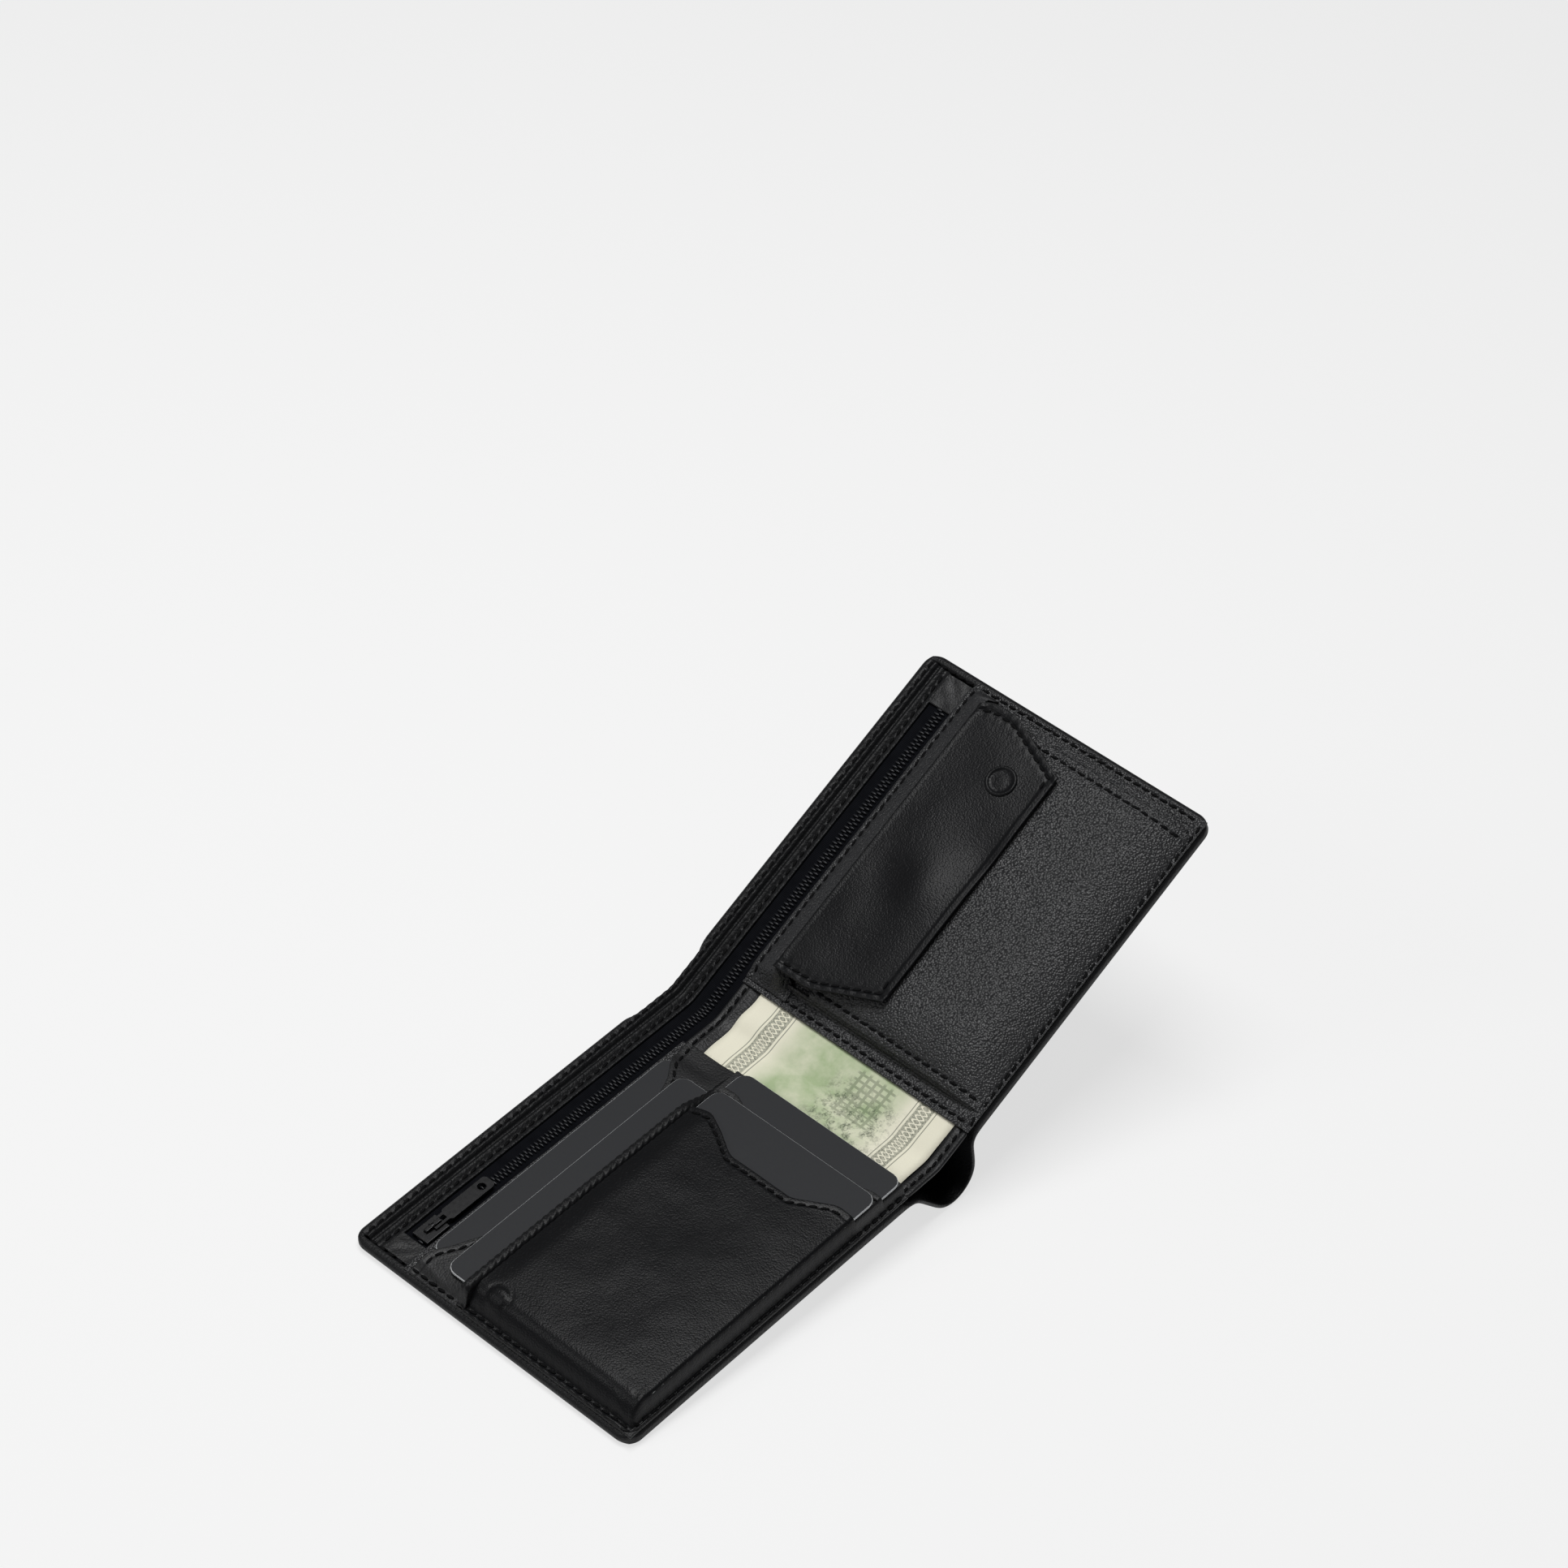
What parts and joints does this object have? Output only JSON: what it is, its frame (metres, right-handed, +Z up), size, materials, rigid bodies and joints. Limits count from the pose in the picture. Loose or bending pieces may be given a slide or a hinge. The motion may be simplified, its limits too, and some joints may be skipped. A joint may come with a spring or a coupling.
{
  "type": "bifold wallet",
  "caption": "Open bifold leather wallet with a zipped pocket along its top edge, card slots on one side and a snap-flap coin pouch on the other, holding cards and a banknote.",
  "frame": {"origin": "middle of the bounding box, at the level of the surface the wallet lies on", "axes": "+X from the card side across the fold to the coin side, +Y along the fold towards the zipped edge, +Z up"},
  "size_m": [0.2138, 0.0954, 0.0801],
  "materials": {
    "black_leather": "semi-matt black leather with a fine grain",
    "lining_cloth": "black woven lining",
    "zip_tape_cloth": "very dark navy zip tape",
    "zip_teeth_plastic": "black coil teeth",
    "black_metal": "black lacquered metal",
    "card_plastic": "blank dark grey card",
    "note_paper": "cream and green printed paper"
  },
  "bodies": {
    "card_side": {"cover_card_side": "black_leather", "spine_roll": "black_leather", "lining_card_side": "lining_cloth", "zip_tape_card_side": "zip_tape_cloth", "zip_teeth_card_side": "zip_teeth_plastic", "zip_end_tab_card_side": "black_leather", "zip_facing_card_side": "black_leather", "divider_card_side": "black_leather", "banknote_card_side": "note_paper", "card_panel_base": "black_leather", "card_slot_layer": "black_leather", "side_pocket_back": "black_leather", "side_pocket_divider": "black_leather", "front_pocket_panel": "black_leather", "pocket_binding": "black_leather"},
    "coin_side": {"cover_coin_side": "black_leather", "lining_coin_side": "lining_cloth", "zip_tape_coin_side": "zip_tape_cloth", "zip_teeth_coin_side": "zip_teeth_plastic", "zip_end_tab_coin_side": "black_leather", "zip_facing_coin_side": "black_leather", "divider_coin_side": "black_leather", "banknote_coin_side": "note_paper", "coin_panel": "black_leather", "pouch_top_strip": "black_leather", "coin_pouch_front": "black_leather", "pouch_gusset_fold_side": "black_leather", "pouch_gusset_outer_side": "black_leather", "snap_stud": "black_metal"},
    "coin_flap": {"flap_leather": "black_leather", "flap_lining": "black_leather", "snap_socket": "black_metal", "snap_cap": "black_leather"},
    "zip_slider_body": {"zip_slider": "black_metal"},
    "zip_puller_body": {"zip_puller": "black_metal"},
    "top_card_back_body": {"top_card_back": "card_plastic"},
    "top_card_front_body": {"top_card_front": "card_plastic"},
    "side_card_back_body": {"side_card_back": "card_plastic"},
    "side_card_front_body": {"side_card_front": "card_plastic"}
  },
  "joints": [
    {"name": "main_fold", "type": "hinge", "parent": "card_side", "child": "coin_side", "pos_m": [0.00458, 0, 0.02393], "axis": [0, 1, 0], "range_deg": [-153.5, 24.7], "deforming": ["spine_roll"]},
    {"name": "flap_hinge", "type": "hinge", "parent": "coin_side", "child": "coin_flap", "pos_m": [0.05355, 0.0217, 0.05429], "axis": [-0.854, 0, -0.5203], "range_deg": [0, 165]},
    {"name": "zip_slide", "type": "slide", "parent": "card_side", "child": "zip_slider_body", "axis": [0.9933, 0, 0.1158], "range_m": [0, 0.072]},
    {"name": "puller_hinge", "type": "hinge", "parent": "zip_slider_body", "child": "zip_puller_body", "pos_m": [-0.0913, 0.0343, 0.0052], "axis": [0, 1, 0], "range_deg": [-165, 0]},
    {"name": "top_card_back_slide", "type": "slide", "parent": "card_side", "child": "top_card_back_body", "axis": [0, 1, 0], "range_m": [0, 0.056]},
    {"name": "top_card_front_slide", "type": "slide", "parent": "card_side", "child": "top_card_front_body", "axis": [0, 1, 0], "range_m": [0, 0.056]},
    {"name": "side_card_back_slide", "type": "slide", "parent": "card_side", "child": "side_card_back_body", "axis": [0.9933, 0, 0.1158], "range_m": [0, 0.02]},
    {"name": "side_card_front_slide", "type": "slide", "parent": "card_side", "child": "side_card_front_body", "axis": [0.9933, 0, 0.1158], "range_m": [0, 0.03]}
  ]
}
